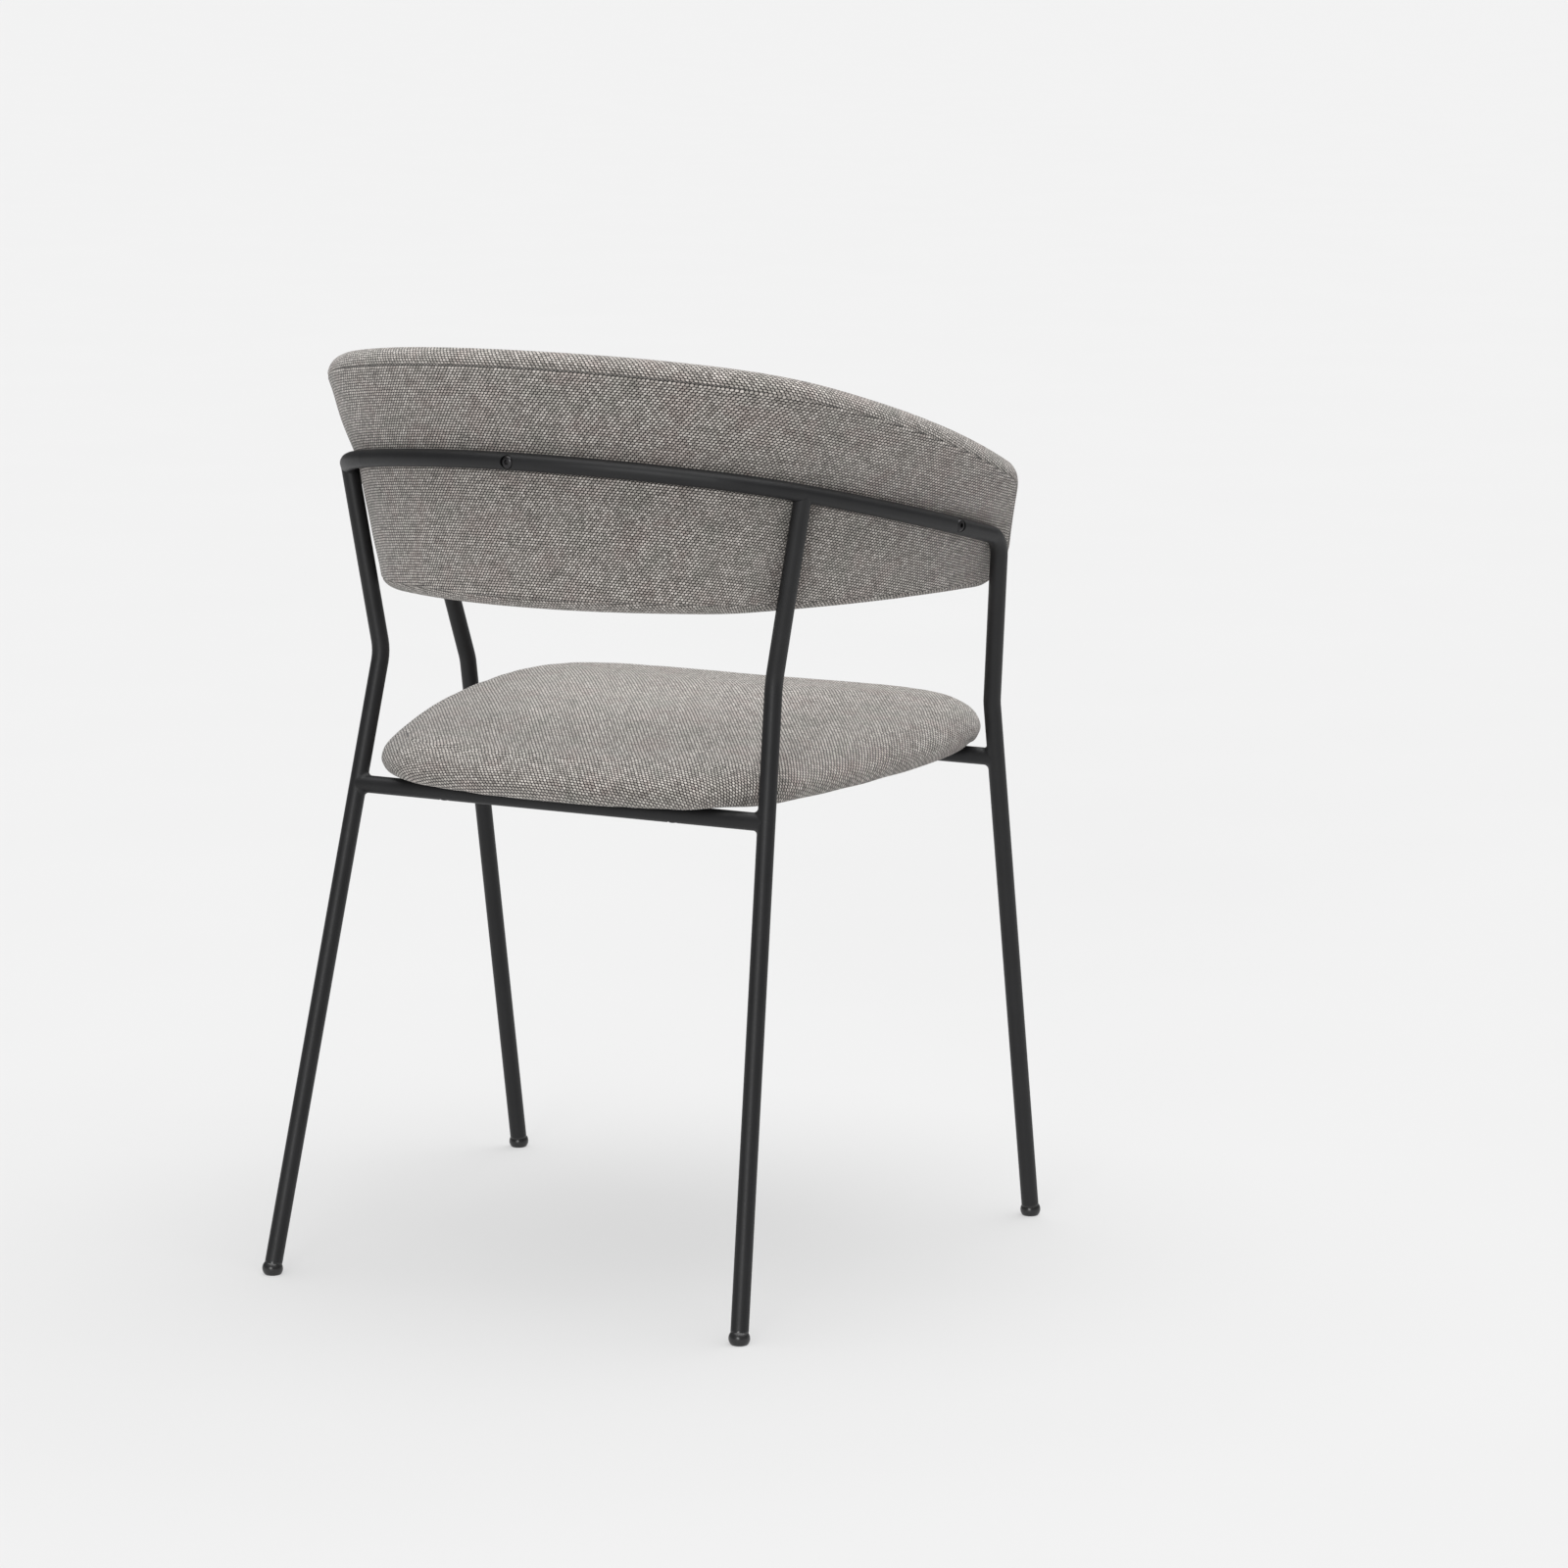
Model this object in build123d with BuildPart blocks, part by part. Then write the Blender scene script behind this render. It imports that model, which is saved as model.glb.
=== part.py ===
from build123d import *
import os
from math import atan, cos, degrees, radians, sin

# Dining chair: a bent steel tube frame, an upholstered seat and a curved upholstered back.
# Millimetres. +Z up, the sitter faces -Y, +X is the sitter's left, the origin is on the floor.

# Steel tube, the same all over the frame
TUBE = 15.0
WALL = 1.5
KINK_RADIUS = 52.0

# Rail round the back, a flat curve tilted down towards the front
RAIL_Y = 207.8
RAIL_Z = 704.0
RAIL_TILT = degrees(atan(0.251))
BACK_RADIUS = 328.0
BACK_TURN = 30.4
CORNER_RADIUS = 129.0
CORNER_TURN = 31.4
SIDE_RADIUS = 592.0
SIDE_TURN = 23.1
RAIL_LEAD = 17.0
FRONT_BEND_RADIUS = 26.0

# Legs: where each axis meets the floor, and where it is kinked
FRONT_FOOT = (263.8, -238.9, 0)
FRONT_KINK = (262.4, -153.6, 473.7)
REAR_FOOT = (225.7, 238.9, 0)
REAR_KINK = (188.9, 108.1, 521.9)
REAR_LEG_ON_SIDE = 0.025
REAR_STRETCHER_Z = 410.7
FRONT_STRETCHER_Z = 424.2
WELD = 4.5
WELD_CLEARANCE = 0.01

# Plastic glides pressed into the leg ends
GLIDE_HEIGHT = 11.0
GLIDE_RADIUS = 8.9
GLIDE_STEM = 18.0
GLIDE_FIT = 0.1

# Socket head screws, M6, with tee nuts
SCREW = 6.0
HEAD = 11.0
HEAD_HEIGHT = 3.2
HEAD_SEAT = 4.0
HEAD_FIT = 0.25
SHANK_FIT = 0.3
THREAD_FIT = 0.05
SOCKET = 4.0
BACK_SCREW_LENGTH = 24.0
SEAT_SCREW_LENGTH = 28.0
SIDE_SCREW_ON_RAIL = 0.77
SEAT_SCREW_X = 110.0
INSERT_RADIUS = 4.2
INSERT_FLANGE = 1.3
TEE_NUT_RADIUS = 8.5
BACK_INSERT_NEAR = 13.5
BACK_INSERT_FAR = 22.5

# Back: a bent board in foam and fabric, flared out above the rail and in below it
BACK_THICK = 27.0
BACK_GAP = 0.2
BACK_FLARE = 22.9
FLARE_RADIUS = 600.0
BACK_EXTRA = 75.0
BACK_BOARD_DEPTH = 6.0
BACK_BOARD_THICK = 8.0
BACK_BOARD_INSET = 14.0
BACK_SEAM_INSET = 9.0
BAND_START = 144.0
BAND_SPAN = 26.0

# Back's outline seen from the side, as (Y, Z): an arc along the top and the ends of the bottom
BACK_TOP_FRONT = (-136.0, 681.0)
BACK_TOP_MIDDLE = (50.0, 749.5)
BACK_TOP_REAR = (260.0, 806.0)
BACK_BOTTOM_REAR = (260.0, 581.0)
BACK_BOTTOM_FRONT = (-181.0, 574.0)
BACK_CORNER = 34.0
HALF_SPACE = 400.0

# Upholstery fabric, the same on the back and the seat
FABRIC = 1.2

# Seat: a board in foam and fabric on saddle pads, parallel to the line between the stretchers
SEAT_HALF_WIDTH = 243.0
SEAT_REAR = 173.0
SEAT_FRONT = 252.0
SEAT_WIDEST = -125.0
SEAT_SIDE_RADIUS = 520.0
SEAT_SIDE_TURN = 31.3
SEAT_REAR_CORNER = 35.0
SEAT_FRONT_CORNER = 85.0
SEAT_FRONT_BOW = 5.0
SEAT_CROWN_RADIUS = 1300.0
SEAT_CROWN_Y = -33.0
SEAT_THICK = 46.0
SEAT_ROUND = 12.0
SEAT_UNDER_ROUND = 8.0
SEAT_BOARD = 12.0
SEAT_BOARD_INSET = 15.0
SEAT_HEM = 18.0
DUST_COVER = 1.0
DUST_COVER_INSET = 13.0
PAD_HEIGHT = 2.5
PAD_LENGTH = 24.0
PAD_WIDTH = 11.0


def on_leg(foot, kink, height):
    """Point on the lower straight run of a leg at a given height."""
    share = height / kink[2]
    return Vector(foot) * (1 - share) + Vector(kink) * share


def finish(piece, name):
    """Label a finished piece and write it."""
    piece.label = name
    export_step(piece, f"parts/{name}.step")


os.makedirs("parts", exist_ok=True)

# Axes of the tubes
rail_plane = Plane(
    origin=(0, RAIL_Y, RAIL_Z),
    x_dir=(1, 0, 0),
    z_dir=(0, -sin(radians(RAIL_TILT)), cos(radians(RAIL_TILT))),
)

with BuildLine(rail_plane) as rail_line:
    back_arc = JernArc((0, 0), (1, 0), BACK_RADIUS, -BACK_TURN)
    corner_arc = JernArc(back_arc @ 1, back_arc % 1, CORNER_RADIUS, -CORNER_TURN)
    side_arc = JernArc(corner_arc @ 1, corner_arc % 1, SIDE_RADIUS, -SIDE_TURN)

front_up = (Vector(FRONT_KINK) - Vector(FRONT_FOOT)).normalized()
rear_up = (Vector(REAR_KINK) - Vector(REAR_FOOT)).normalized()
front_tube_end = Vector(FRONT_FOOT) + front_up * GLIDE_HEIGHT
rear_tube_end = Vector(REAR_FOOT) + rear_up * GLIDE_HEIGHT
front_corner = side_arc @ 1 + (side_arc % 1) * RAIL_LEAD
rear_leg_top = side_arc @ REAR_LEG_ON_SIDE

with BuildLine() as bow_line:
    add(rail_line.line)
    FilletPolyline(
        side_arc @ 1,
        front_corner,
        Vector(FRONT_KINK),
        front_tube_end,
        radius=[FRONT_BEND_RADIUS, KINK_RADIUS],
    )

with BuildLine() as rear_leg_line:
    FilletPolyline(rear_tube_end, Vector(REAR_KINK), rear_leg_top, radius=KINK_RADIUS)

rail_normal = rail_plane.z_dir
side_screw_point = side_arc @ SIDE_SCREW_ON_RAIL
side_screw_out = (side_arc % SIDE_SCREW_ON_RAIL).cross(rail_normal) * -1
back_screw_planes = [
    Plane(origin=rail_plane.origin, x_dir=(1, 0, 0), z_dir=(0, 1, 0)),
    Plane(origin=side_screw_point, x_dir=rail_normal, z_dir=side_screw_out),
]
back_screw_planes.append(
    Plane(
        origin=(-side_screw_point.X, side_screw_point.Y, side_screw_point.Z),
        x_dir=rail_normal,
        z_dir=(-side_screw_out.X, side_screw_out.Y, side_screw_out.Z),
    )
)

# The seat's own plane holds both stretcher axes
rear_stretcher_end = on_leg(REAR_FOOT, REAR_KINK, REAR_STRETCHER_Z)
front_stretcher_end = on_leg(FRONT_FOOT, FRONT_KINK, FRONT_STRETCHER_Z)
seat_slope = (FRONT_STRETCHER_Z - REAR_STRETCHER_Z) / (rear_stretcher_end.Y - front_stretcher_end.Y)
seat_tilt = atan(seat_slope)
seat_plane = Plane(
    origin=(0, 0, REAR_STRETCHER_Z + rear_stretcher_end.Y * seat_slope),
    x_dir=(1, 0, 0),
    z_dir=(0, sin(seat_tilt), cos(seat_tilt)),
)
seat_screw_planes = [
    Plane(origin=(x, end.Y, end.Z), x_dir=(1, 0, 0), z_dir=seat_plane.z_dir * -1)
    for end in (rear_stretcher_end, front_stretcher_end)
    for x in (-SEAT_SCREW_X, SEAT_SCREW_X)
]


# Frame
def swept(line, radius):
    """A round rod along a line."""
    with BuildPart() as rod:
        with BuildSketch(Plane(origin=line @ 0, z_dir=line % 0)):
            Circle(radius)
        sweep(path=line)
    return rod.part


def both_sides(half):
    """A half and its mirror image, joined at the middle."""
    with BuildPart() as whole:
        add(half)
        mirror(about=Plane.YZ)
    return whole.part


bow_rod = both_sides(swept(bow_line.line, TUBE / 2))
bow_bore = both_sides(swept(bow_line.line, TUBE / 2 - WALL))
rear_leg_rod = swept(rear_leg_line.line, TUBE / 2)


def screw_cups(planes, rod):
    """The tube wall pressed in at each screw, so that the head sits below the surface."""
    with BuildPart() as cups:
        for plane in planes:
            with BuildSketch(plane.offset(HEAD_SEAT - WALL)):
                Circle(HEAD / 2 + WALL)
            extrude(amount=TUBE)
        add(rod, mode=Mode.INTERSECT)
    return cups.part


def screw_cutters(planes):
    """What is cut from a tube at each screw: the head's recess and the shank's hole."""
    with BuildPart() as cutters:
        for plane in planes:
            with BuildSketch(plane.offset(HEAD_SEAT)):
                Circle(HEAD / 2 + HEAD_FIT)
            extrude(amount=TUBE)
            with BuildSketch(plane):
                Circle(SCREW / 2 + SHANK_FIT)
            extrude(amount=TUBE, both=True)
    return cutters.part


with BuildPart() as bow_tube:
    add(bow_rod)
    add(bow_bore, mode=Mode.SUBTRACT)
    add(screw_cups(back_screw_planes, bow_rod))
    add(screw_cutters(back_screw_planes), mode=Mode.SUBTRACT)
finish(bow_tube.part, "bow_tube")

with BuildPart() as rear_leg_left:
    add(rear_leg_rod)
    add(swept(rear_leg_line.line, TUBE / 2 - WALL), mode=Mode.SUBTRACT)
    add(bow_rod, mode=Mode.SUBTRACT)
finish(rear_leg_left.part, "rear_leg_left")

with BuildPart() as rear_leg_right:
    add(mirror(rear_leg_left.part, about=Plane.YZ, mode=Mode.PRIVATE))
finish(rear_leg_right.part, "rear_leg_right")


def stretcher(end, leg_up, leg_rods, planes):
    """A straight tube between two legs, coped to them, with a weld fillet all round each end."""
    cross_plane = Plane(origin=(0, end.Y, end.Z), z_dir=(1, 0, 0))
    with BuildPart() as leg_stub:
        with BuildSketch(Plane(origin=end, z_dir=leg_up)):
            Circle(TUBE / 2 + WELD_CLEARANCE)
        extrude(amount=2 * TUBE, both=True)
    with BuildPart() as half:
        add(leg_stub.part)
        with BuildSketch(cross_plane):
            Circle(TUBE / 2)
        extrude(amount=end.X)
        fillet(half.edges().filter_by(GeomType.BSPLINE), radius=WELD)
        add(leg_stub.part, mode=Mode.SUBTRACT)
    rod = both_sides(half.part)
    with BuildPart() as tube:
        add(rod)
        with BuildSketch(cross_plane):
            Circle(TUBE / 2 - WALL)
        extrude(amount=end.X, both=True, mode=Mode.SUBTRACT)
        add(screw_cups(planes, rod))
        add(screw_cutters(planes), mode=Mode.SUBTRACT)
        for leg_rod in leg_rods:
            add(leg_rod, mode=Mode.SUBTRACT)
    return tube.part


rear_leg_rods = [rear_leg_rod, mirror(rear_leg_rod, about=Plane.YZ, mode=Mode.PRIVATE)]
rear_stretcher = stretcher(rear_stretcher_end, rear_up, rear_leg_rods, seat_screw_planes[:2])
finish(rear_stretcher, "rear_stretcher")
front_stretcher = stretcher(front_stretcher_end, front_up, [bow_rod], seat_screw_planes[2:])
finish(front_stretcher, "front_stretcher")


# Glides: a stem in the tube, a shoulder against its end and a domed foot with a flat face
def glide(foot, up):
    """A plastic glide on the axis of one leg, cut flat where it stands on the floor."""
    sideways = up.cross(Vector(0, 1, 0))
    side_view = Plane(origin=foot, x_dir=sideways, z_dir=sideways.cross(up))
    stem_radius = TUBE / 2 - WALL - GLIDE_FIT
    with BuildPart() as piece:
        with BuildSketch(side_view):
            with BuildLine():
                dome = ThreePointArc((0, -2), (GLIDE_RADIUS, 4.6), (TUBE / 2, GLIDE_HEIGHT - 1.5))
                Polyline(
                    dome @ 1,
                    (TUBE / 2, GLIDE_HEIGHT),
                    (stem_radius, GLIDE_HEIGHT),
                    (stem_radius, GLIDE_HEIGHT + GLIDE_STEM - 1),
                    (stem_radius - 1, GLIDE_HEIGHT + GLIDE_STEM),
                    (0, GLIDE_HEIGHT + GLIDE_STEM),
                    (0, -2),
                )
            make_face()
        revolve(axis=Axis(foot, up))
        split(bisect_by=Plane.XY, keep=Keep.TOP)
    return piece.part


for side, sign in (("left", 1), ("right", -1)):
    for end, foot, up in (("front", FRONT_FOOT, front_up), ("rear", REAR_FOOT, rear_up)):
        foot_point = Vector(sign * foot[0], foot[1], 0)
        leg_axis = Vector(sign * up.X, up.Y, up.Z)
        finish(glide(foot_point, leg_axis), f"glide_{end}_{side}")


# Back: one flared band inside the rail, cut to the outline seen from the side
with BuildLine(rail_plane) as band_line:
    add(rail_line.line)
    Line(side_arc @ 1, side_arc @ 1 + (side_arc % 1) * BACK_EXTRA)
    mirror(about=Plane.YZ)

band_path = band_line.wires()[0]
section_plane = Plane(
    origin=band_path @ 0, x_dir=rail_normal.cross(band_path % 0), z_dir=band_path % 0
)
flare_reach = FLARE_RADIUS - TUBE / 2 - BACK_GAP
flare_centre = (flare_reach * cos(radians(BACK_FLARE)), -flare_reach * sin(radians(BACK_FLARE)))


def back_slice(inset):
    """The back's outline seen from the side, right across the chair: level bottom, slanted front."""
    with BuildPart() as across:
        with BuildSketch(Plane.YZ) as outline:
            with BuildLine():
                top = ThreePointArc(BACK_TOP_FRONT, BACK_TOP_MIDDLE, BACK_TOP_REAR)
                Polyline(top @ 1, BACK_BOTTOM_REAR, BACK_BOTTOM_FRONT, top @ 0)
            make_face()
            fillet(outline.vertices().sort_by(Axis.X)[:2], radius=BACK_CORNER)
            if inset:
                offset(amount=-inset, mode=Mode.REPLACE)
        extrude(amount=HALF_SPACE, both=True)
    return across.part


def back_band(outer_depth, inner_depth, inset):
    """A slab of the back between two depths below its outer face, its rim inset."""
    with BuildPart() as band:
        with BuildSketch(section_plane):
            with BuildLine():
                outer = CenterArc(flare_centre, FLARE_RADIUS + outer_depth, BAND_START, BAND_SPAN)
                inner = CenterArc(flare_centre, FLARE_RADIUS + inner_depth, BAND_START, BAND_SPAN)
                Line(outer @ 0, inner @ 0)
                Line(outer @ 1, inner @ 1)
            make_face()
        sweep(path=band_path)
        add(back_slice(inset), mode=Mode.INTERSECT)
    return band.part


# Fasteners, each placed by a plane on a tube's axis with z towards the screw's head
def screws(planes, length):
    """Button head socket screws seated in their tubes."""
    with BuildPart() as group:
        for plane in planes:
            with BuildSketch(Plane(origin=plane.origin, x_dir=plane.x_dir, z_dir=plane.y_dir * -1)):
                with BuildLine():
                    top = HEAD_SEAT + HEAD_HEIGHT
                    head = ThreePointArc(
                        (HEAD / 2, HEAD_SEAT + 0.8), (HEAD / 2 - 0.9, top - 0.8), (HEAD / 4, top)
                    )
                    Polyline(
                        head @ 1,
                        (0, top),
                        (0, HEAD_SEAT - length),
                        (SCREW / 2, HEAD_SEAT - length),
                        (SCREW / 2, HEAD_SEAT),
                        (HEAD / 2, HEAD_SEAT),
                        head @ 0,
                    )
                make_face()
            revolve(axis=Axis(plane.origin, plane.z_dir))
            with BuildSketch(plane.offset(top)):
                RegularPolygon(SOCKET / 2, 6, major_radius=False)
            extrude(amount=-SOCKET / 2, mode=Mode.SUBTRACT)
    return group.part


def insert_nuts(planes, near, far, flange):
    """Threaded barrels between two depths below the tube axis, with a flange at the far end."""
    with BuildPart() as group:
        for plane in planes:
            with BuildSketch(plane.offset(-near)):
                Circle(INSERT_RADIUS)
            extrude(amount=near - far)
            with BuildSketch(plane.offset(-far)):
                Circle(flange)
            extrude(amount=-INSERT_FLANGE)
            with BuildSketch(plane.offset(-near)):
                Circle(SCREW / 2 + THREAD_FIT)
            extrude(amount=near - far - INSERT_FLANGE, mode=Mode.SUBTRACT)
    return group.part


def rods(planes, radius, start, end):
    """Round rods between two depths below the tube axis, to clear the way for fasteners."""
    with BuildPart() as group:
        for plane in planes:
            with BuildSketch(plane.offset(-start)):
                Circle(radius)
            extrude(amount=start - end)
    return group.part


backrest_screws = screws(back_screw_planes, BACK_SCREW_LENGTH)
backrest_inserts = insert_nuts(back_screw_planes, BACK_INSERT_NEAR, BACK_INSERT_FAR, INSERT_RADIUS)
back_drillings = rods(back_screw_planes, INSERT_RADIUS, -20, BACK_INSERT_FAR + INSERT_FLANGE + 1)
finish(backrest_screws, "backrest_screws")
finish(backrest_inserts, "backrest_inserts")

back_whole = back_band(0, BACK_THICK, 0)
back_filling = back_band(FABRIC, BACK_THICK - FABRIC, FABRIC)
back_board_blank = back_band(BACK_BOARD_DEPTH, BACK_BOARD_DEPTH + BACK_BOARD_THICK, BACK_BOARD_INSET)

with BuildPart() as backrest_board:
    add(back_board_blank)
    add(back_drillings, mode=Mode.SUBTRACT)
finish(backrest_board.part, "backrest_board")

with BuildPart() as backrest_foam:
    add(back_filling)
    add(back_board_blank, mode=Mode.SUBTRACT)
    add(back_drillings, mode=Mode.SUBTRACT)
finish(backrest_foam.part, "backrest_foam")

with BuildPart() as backrest_cover_outer:
    add(back_band(0, FABRIC, BACK_SEAM_INSET))
    add(back_drillings, mode=Mode.SUBTRACT)
finish(backrest_cover_outer.part, "backrest_cover_outer")

with BuildPart() as backrest_cover_inner:
    add(back_whole)
    add(back_filling, mode=Mode.SUBTRACT)
    add(back_band(-1, FABRIC, BACK_SEAM_INSET), mode=Mode.SUBTRACT)
finish(backrest_cover_inner.part, "backrest_cover_inner")


# Seat: every layer is cut from the same plan outline, heights are over the stretcher axes
def seat_outline(inset):
    """The seat's outline from above, wide in front, its rear corners between the rear legs."""
    front_corner_y = SEAT_FRONT_BOW - SEAT_FRONT
    with BuildSketch() as outline:
        with BuildLine():
            side = JernArc((SEAT_HALF_WIDTH, SEAT_WIDEST), (0, 1), SEAT_SIDE_RADIUS, SEAT_SIDE_TURN)
            Line(side @ 0, (SEAT_HALF_WIDTH, front_corner_y))
            mirror(about=Plane.YZ)
            ThreePointArc(side @ 1, (0, SEAT_REAR), (-(side @ 1).X, (side @ 1).Y))
            ThreePointArc(
                (SEAT_HALF_WIDTH, front_corner_y), (0, -SEAT_FRONT), (-SEAT_HALF_WIDTH, front_corner_y)
            )
        make_face()
        fillet(outline.vertices().group_by(Axis.Y)[0], radius=SEAT_FRONT_CORNER)
        fillet(outline.vertices().group_by(Axis.Y)[-1], radius=SEAT_REAR_CORNER)
        if inset:
            offset(amount=-inset, mode=Mode.REPLACE)
    return outline.sketch


def seat_sheet(bottom, top, inset):
    """A flat layer of the seat."""
    with BuildPart() as sheet:
        with BuildSketch(seat_plane.offset(bottom)):
            add(seat_outline(inset))
        extrude(amount=top - bottom)
    return sheet.part


def seat_cushion(bottom, top, inset):
    """The whole seat pad shrunk by an inset: crowned on top and rounded all along its edges."""
    with BuildPart() as cushion:
        add(seat_sheet(bottom, top, inset))
        with Locations(seat_plane.offset(top - SEAT_CROWN_RADIUS)):
            with Locations((0, SEAT_CROWN_Y, 0)):
                Sphere(radius=SEAT_CROWN_RADIUS, mode=Mode.INTERSECT)
        fillet(cushion.faces().filter_by(GeomType.SPHERE).edges(), radius=SEAT_ROUND - inset)
        underside = cushion.faces().filter_by(GeomType.PLANE).sort_by(Axis.Z)[0]
        fillet(underside.edges(), radius=SEAT_UNDER_ROUND - inset)
    return cushion.part


seat_base = TUBE / 2 + PAD_HEIGHT
seat_skin = seat_base + DUST_COVER
board_bottom = seat_skin + FABRIC
board_top = board_bottom + SEAT_BOARD
seat_crown = seat_skin + SEAT_THICK

seat_screws = screws(seat_screw_planes, SEAT_SCREW_LENGTH)
seat_tee_nuts = insert_nuts(seat_screw_planes, board_bottom + 1.5, board_top, TEE_NUT_RADIUS)
seat_drillings = rods(seat_screw_planes, INSERT_RADIUS, 2, board_top + INSERT_FLANGE + 1)
finish(seat_screws, "seat_screws")
finish(seat_tee_nuts, "seat_tee_nuts")

seat_whole = seat_cushion(seat_skin, seat_crown, 0)
seat_filling = seat_cushion(board_bottom, seat_crown - FABRIC, FABRIC)

with BuildPart() as seat_pads:
    for plane in seat_screw_planes:
        with BuildSketch(plane.offset(-seat_base)):
            Rectangle(PAD_LENGTH, PAD_WIDTH)
        extrude(amount=seat_base)
    for end in (rear_stretcher_end, front_stretcher_end):
        with BuildSketch(Plane(origin=(0, end.Y, end.Z), z_dir=(1, 0, 0))):
            Circle(TUBE / 2)
        extrude(amount=SEAT_HALF_WIDTH, both=True, mode=Mode.SUBTRACT)
    add(seat_drillings, mode=Mode.SUBTRACT)
finish(seat_pads.part, "seat_pads")

with BuildPart() as seat_dust_cover:
    add(seat_sheet(seat_base, seat_skin, DUST_COVER_INSET))
    add(seat_drillings, mode=Mode.SUBTRACT)
finish(seat_dust_cover.part, "seat_dust_cover")

with BuildPart() as seat_board:
    add(seat_sheet(board_bottom, board_top, SEAT_BOARD_INSET))
    add(seat_drillings, mode=Mode.SUBTRACT)
finish(seat_board.part, "seat_board")

with BuildPart() as seat_foam:
    add(seat_filling)
    add(seat_sheet(board_bottom - 1, board_top, SEAT_BOARD_INSET), mode=Mode.SUBTRACT)
    add(seat_drillings, mode=Mode.SUBTRACT)
    flanges = rods(seat_screw_planes, TEE_NUT_RADIUS, board_top, board_top + INSERT_FLANGE)
    add(flanges, mode=Mode.SUBTRACT)
finish(seat_foam.part, "seat_foam")

with BuildPart() as seat_cover:
    add(seat_whole)
    add(seat_filling, mode=Mode.SUBTRACT)
    add(seat_sheet(seat_base, board_bottom + 1, SEAT_HEM), mode=Mode.SUBTRACT)
finish(seat_cover.part, "seat_cover")
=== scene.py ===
import math

import bpy
import numpy as np
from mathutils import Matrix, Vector
from mathutils.kdtree import KDTree


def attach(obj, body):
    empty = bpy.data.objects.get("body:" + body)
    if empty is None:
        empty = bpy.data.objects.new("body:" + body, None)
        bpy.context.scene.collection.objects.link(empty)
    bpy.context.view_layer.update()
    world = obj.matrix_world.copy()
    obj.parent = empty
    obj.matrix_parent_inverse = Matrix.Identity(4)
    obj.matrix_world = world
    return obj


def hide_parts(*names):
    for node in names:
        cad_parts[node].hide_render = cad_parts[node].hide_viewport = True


# Dining chair: the steel frame, fasteners and glides are the CAD solids with better materials.
# The back and the seat are soft pieces built here over the space their CAD solids hold.

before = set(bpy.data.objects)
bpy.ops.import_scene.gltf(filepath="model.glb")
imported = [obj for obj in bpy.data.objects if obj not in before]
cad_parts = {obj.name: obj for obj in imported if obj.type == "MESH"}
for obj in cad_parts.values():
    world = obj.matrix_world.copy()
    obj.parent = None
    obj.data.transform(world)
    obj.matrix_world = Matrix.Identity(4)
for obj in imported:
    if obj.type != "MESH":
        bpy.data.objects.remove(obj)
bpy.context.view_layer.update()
BODY = "root"

# Dimensions repeated from the model, in metres
RAIL_Y = 0.2078
RAIL_Z = 0.704
RAIL_TILT = math.atan(0.251)
RAIL_ARCS = ((0.328, math.radians(30.4)), (0.129, math.radians(31.4)), (0.592, math.radians(23.1)))
TUBE_RADIUS = 0.0075
FLARE = math.radians(22.9)
FLARE_RADIUS = 0.6
FLARE_REACH = 0.5923
BACK_HALF_THICK = 0.0135
REAR_FOOT = (0.2257, 0.2389, 0.0)
REAR_KINK = (0.1889, 0.1081, 0.5219)
SEAT_PLANE_Z = 0.41685
SEAT_TILT = math.atan(0.0452)


# ---------------------------------------------------------------- mesh helpers
def make_object(name, points, faces, cloth=None):
    """A mesh object with smooth faces; cloth is the place of each point on the flat fabric."""
    mesh = bpy.data.meshes.new(name)
    mesh.from_pydata([tuple(p) for p in points], [], faces)
    mesh.update()
    if cloth is not None:
        layer = mesh.attributes.new("cloth", "FLOAT_VECTOR", "POINT")
        layer.data.foreach_set("vector", np.asarray(cloth, dtype=np.float32).ravel())
    obj = bpy.data.objects.new(name, mesh)
    bpy.context.scene.collection.objects.link(obj)
    for polygon in mesh.polygons:
        polygon.use_smooth = True
    return obj


def coons(bottom, right, top, left):
    """Fills a four-sided loop with a grid: bottom and top run left to right, the sides run up."""
    columns, rows = len(bottom), len(left)
    a = np.linspace(0, 1, columns)[None, :, None]
    b = np.linspace(0, 1, rows)[:, None, None]
    ruled_up = (1 - b) * bottom[None] + b * top[None]
    ruled_across = (1 - a) * left[:, None] + a * right[:, None]
    corners = (
        (1 - a) * (1 - b) * bottom[0] + a * (1 - b) * bottom[-1] + (1 - a) * b * top[0] + a * b * top[-1]
    )
    return ruled_up + ruled_across - corners


def resample(points, count):
    """The same open line with evenly spaced points."""
    steps = np.linalg.norm(np.diff(points, axis=0), axis=1)
    along = np.concatenate([[0], np.cumsum(steps)])
    wanted = np.linspace(0, along[-1], count)
    return np.stack([np.interp(wanted, along, points[:, k]) for k in range(points.shape[1])], -1)


def loop_normals(loop):
    """Unit normals to the left of a closed loop, which is inwards when it runs anticlockwise."""
    ahead = np.roll(loop, -1, axis=0) - np.roll(loop, 1, axis=0)
    ahead /= np.linalg.norm(ahead, axis=1)[:, None]
    return np.stack([-ahead[:, 1], ahead[:, 0]], -1)


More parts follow.
